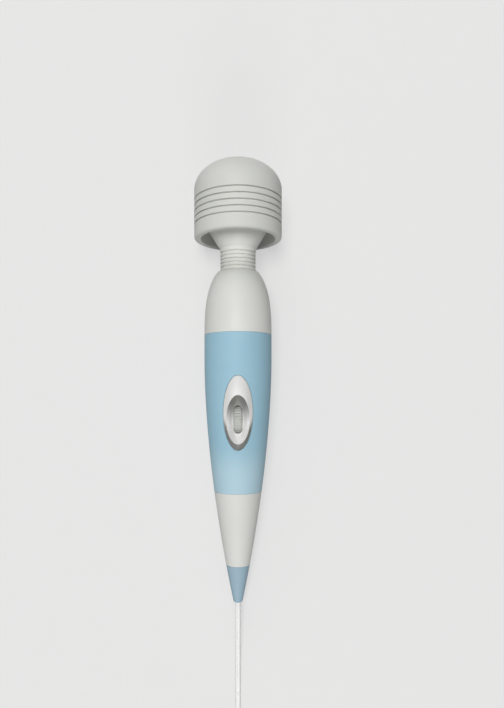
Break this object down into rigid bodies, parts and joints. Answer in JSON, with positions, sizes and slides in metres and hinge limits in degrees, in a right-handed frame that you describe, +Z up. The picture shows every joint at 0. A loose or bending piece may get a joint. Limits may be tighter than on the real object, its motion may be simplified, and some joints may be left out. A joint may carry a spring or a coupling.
{
  "type": "handheld wand massager",
  "caption": "Handheld wand massager: soft grooved round head on a ribbed flexible neck, tapering handle with a soft grip band and thumb dial, strain relief and coiled mains lead.",
  "frame": {"origin": "centre of the lying wand's footprint, on the table, without the lead", "axes": "+Y along the wand towards the head, +Z up out of the dial side, +X to the right when the dial faces the viewer"},
  "size_m": [0.0693, 0.5557, 0.0621],
  "materials": {
    "casing_abs": "satin warm white",
    "bezel_abs": "satin white",
    "grip_tpe": "matte light blue",
    "head_silicone": "matte warm white",
    "dial_plastic": "matte pale grey",
    "inner_plastic": "matte dark grey",
    "board": "matte green laminate",
    "capacitor_sleeve": "dark blue",
    "mount_rubber": "matte black",
    "steel": "plain",
    "bronze": "plain",
    "wire_cover": "matte",
    "cord_pvc": "matte white",
    "strap": "black hook and loop"
  },
  "bodies": {
    "handle": {"front_shell": "casing_abs", "rear_shell": "casing_abs", "grip_sleeve": "grip_tpe", "control_bezel": "bezel_abs", "tail_strain_relief": "grip_tpe", "casing_screw_1": "steel", "casing_screw_2": "steel", "casing_screw_3": "steel", "motor_can": "steel", "motor_end_cap": "inner_plastic", "motor_magnet_left": "inner_plastic", "motor_magnet_right": "inner_plastic", "motor_bearing_front": "bronze", "motor_bearing_rear": "bronze", "motor_brush_left": "inner_plastic", "motor_brush_right": "inner_plastic", "motor_mount_front": "mount_rubber", "motor_mount_rear": "mount_rubber", "control_board": "board", "speed_potentiometer": "inner_plastic", "smoothing_capacitor": "capacitor_sleeve", "bridge_rectifier": "inner_plastic", "supply_wire_left": "wire_cover", "supply_wire_right": "wire_cover", "motor_wire_left": "wire_cover", "motor_wire_right": "wire_cover", "cord_clamp": "inner_plastic", "clamp_screw_1": "steel", "clamp_screw_2": "steel", "cord_run": "cord_pvc", "cord_coil": "cord_pvc", "cord_tie": "strap", "cord_tail": "cord_pvc", "plug_body": "cord_pvc", "plug_pin_left": "steel", "plug_pin_right": "steel"},
    "rotor": {"motor_shaft": "steel", "armature_core": "steel", "winding_rear": "bronze", "winding_front": "bronze", "commutator": "bronze", "drive_collar_lower": "bronze", "drive_spring": "steel"},
    "neck": {"neck_bellows": "head_silicone"},
    "head": {"head_cone": "casing_abs", "head_core": "inner_plastic", "head_cap": "head_silicone", "head_bearing_lower": "steel", "head_bearing_upper": "steel"},
    "eccentric": {"eccentric_shaft": "steel", "eccentric_weight": "bronze", "drive_collar_upper": "bronze"},
    "dial": {"speed_dial": "dial_plastic", "dial_axle": "steel"}
  },
  "joints": [
    {"name": "neck_nod", "type": "hinge", "parent": "handle", "child": "neck", "pos_m": [0, 0.08089, 0.02868], "axis": [1, 0, 0], "range_deg": [-12, 12], "stiffness_Nm_per_rad": 4, "deforming": ["neck_bellows", "drive_spring"]},
    {"name": "neck_sway", "type": "hinge", "parent": "neck", "child": "head", "pos_m": [0, 0.08553, 0.02901], "axis": [0, -0.0691, 0.9976], "range_deg": [-12, 12], "stiffness_Nm_per_rad": 4, "deforming": ["neck_bellows", "drive_spring"]},
    {"name": "rotor_spin", "type": "hinge", "parent": "handle", "child": "rotor", "pos_m": [0, 0.02797, 0.02502], "axis": [0, 0.9976, 0.0691], "continuous": true},
    {"name": "eccentric_spin", "type": "hinge", "parent": "head", "child": "eccentric", "pos_m": [0, 0.12559, 0.03178], "axis": [0, 0.9976, 0.0691], "continuous": true},
    {"name": "dial_turn", "type": "hinge", "parent": "handle", "child": "dial", "pos_m": [0, -0.02618, 0.03177], "axis": [1, 0, 0], "range_deg": [0, 270]}
  ],
  "couplings": [
    {"joint": "eccentric_spin", "follows": "rotor_spin", "ratio": 1}
  ]
}
